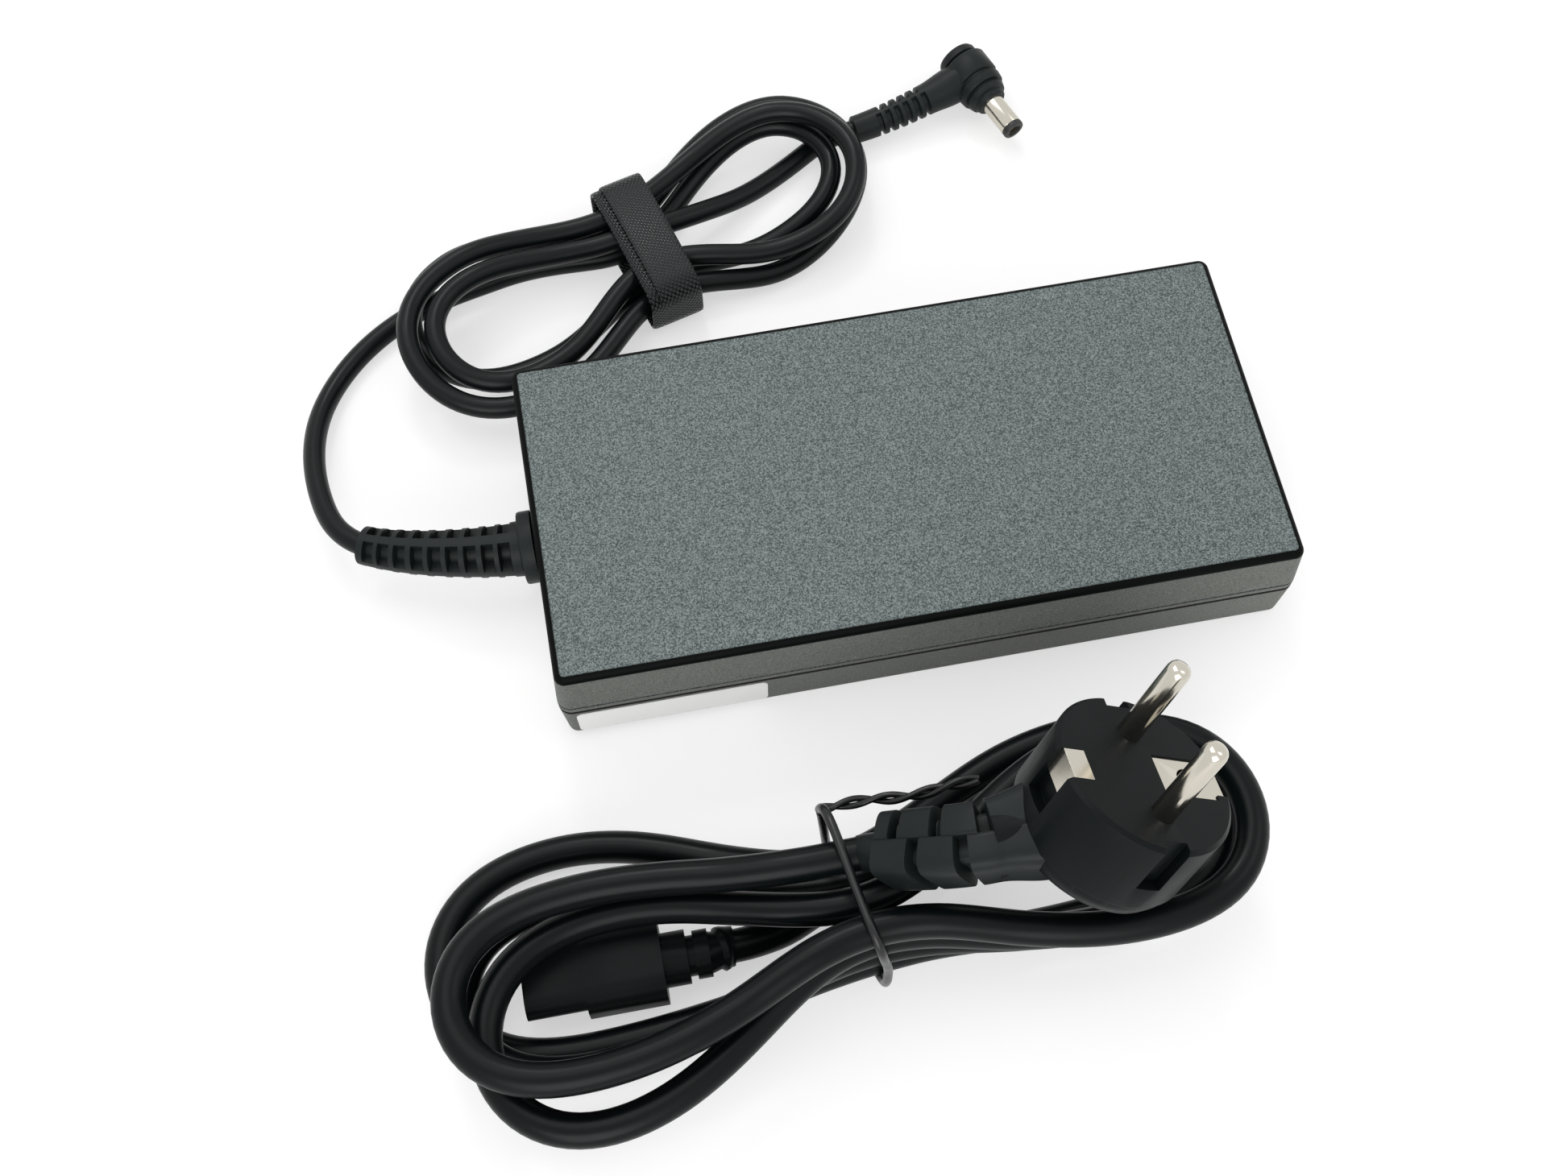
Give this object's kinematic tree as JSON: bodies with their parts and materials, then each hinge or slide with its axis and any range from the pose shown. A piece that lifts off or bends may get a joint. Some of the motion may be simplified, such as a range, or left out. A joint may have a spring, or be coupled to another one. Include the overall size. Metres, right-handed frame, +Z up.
{
  "type": "power adapter",
  "caption": "Laptop power adapter: flat charcoal brick with a ribbed strain relief, a strapped low-voltage cord with a barrel plug, and a loose tied mains lead with a round two-pin plug.",
  "frame": {"origin": "On the floor under the middle of the brick: the centre of the bottom of its box, cords left out.", "axes": "+X along the length of the brick towards its mains inlet, +Y away from the mains lead towards the low-voltage plug, +Z up."},
  "size_m": [0.2098, 0.2529, 0.0725],
  "materials": {
    "housing": "fine spark-eroded grain",
    "label": "satin paper film",
    "black_moulding": "satin",
    "plated_contacts": "plain nickel plate",
    "board": "solder mask",
    "liner": "translucent film",
    "heat_sinks": "mill",
    "fuse_glass": "glazed ceramic",
    "yellow_film": "satin",
    "copper_winding": "enamelled wire",
    "capacitor_sleeve": "shrunk sleeve",
    "ferrite": "ground",
    "blue_ceramic": "dipped",
    "lead_insulation": "extruded",
    "soft_moulding": "satin",
    "cord_jacket": "semi-gloss extruded",
    "strap_fabric": "woven",
    "nickel": "bright nickel plate",
    "contact_spring": "plated",
    "mains_jacket": "semi-gloss extruded",
    "tie_coating": "coated wire",
    "plug_moulding": "satin"
  },
  "bodies": {
    "adapter": {"top_shell": "housing", "bottom_shell": "housing", "side_label": "label", "mains_inlet": "black_moulding", "inlet_pins": "plated_contacts", "circuit_board": "board", "board_liner": "liner", "heat_spreader": "heat_sinks", "input_fuse": "fuse_glass", "filter_capacitor": "yellow_film", "filter_choke": "copper_winding", "bridge_rectifier": "black_moulding", "boost_choke": "copper_winding", "bulk_capacitor": "capacitor_sleeve", "primary_heat_sink": "heat_sinks", "power_transistors": "black_moulding", "transformer_core": "ferrite", "transformer_winding": "yellow_film", "secondary_heat_sink": "heat_sinks", "output_rectifiers": "black_moulding", "output_capacitors": "capacitor_sleeve", "suppression_capacitors": "blue_ceramic", "output_leads": "lead_insulation", "dc_strain_relief": "soft_moulding", "dc_cord_start": "cord_jacket", "dc_cord_hank": "cord_jacket", "dc_cord_end": "cord_jacket", "hook_loop_strap": "strap_fabric", "dc_plug_body": "soft_moulding", "dc_plug_barrel": "nickel", "dc_plug_insulator": "black_moulding", "dc_plug_contact": "contact_spring"},
    "mains_lead": {"mains_cord_hank": "mains_jacket", "mains_cord_start": "mains_jacket", "twist_tie": "tie_coating", "mains_plug_body": "plug_moulding", "mains_plug_relief": "soft_moulding", "mains_plug_pins": "nickel", "mains_plug_earth": "nickel", "mains_connector_body": "plug_moulding", "mains_connector_contacts": "contact_spring"}
  },
  "joints": [
    {"name": "mains_lead_lift", "type": "slide", "parent": "adapter", "child": "mains_lead", "axis": [0, 0, 1], "range_m": [0, 0.1]}
  ]
}
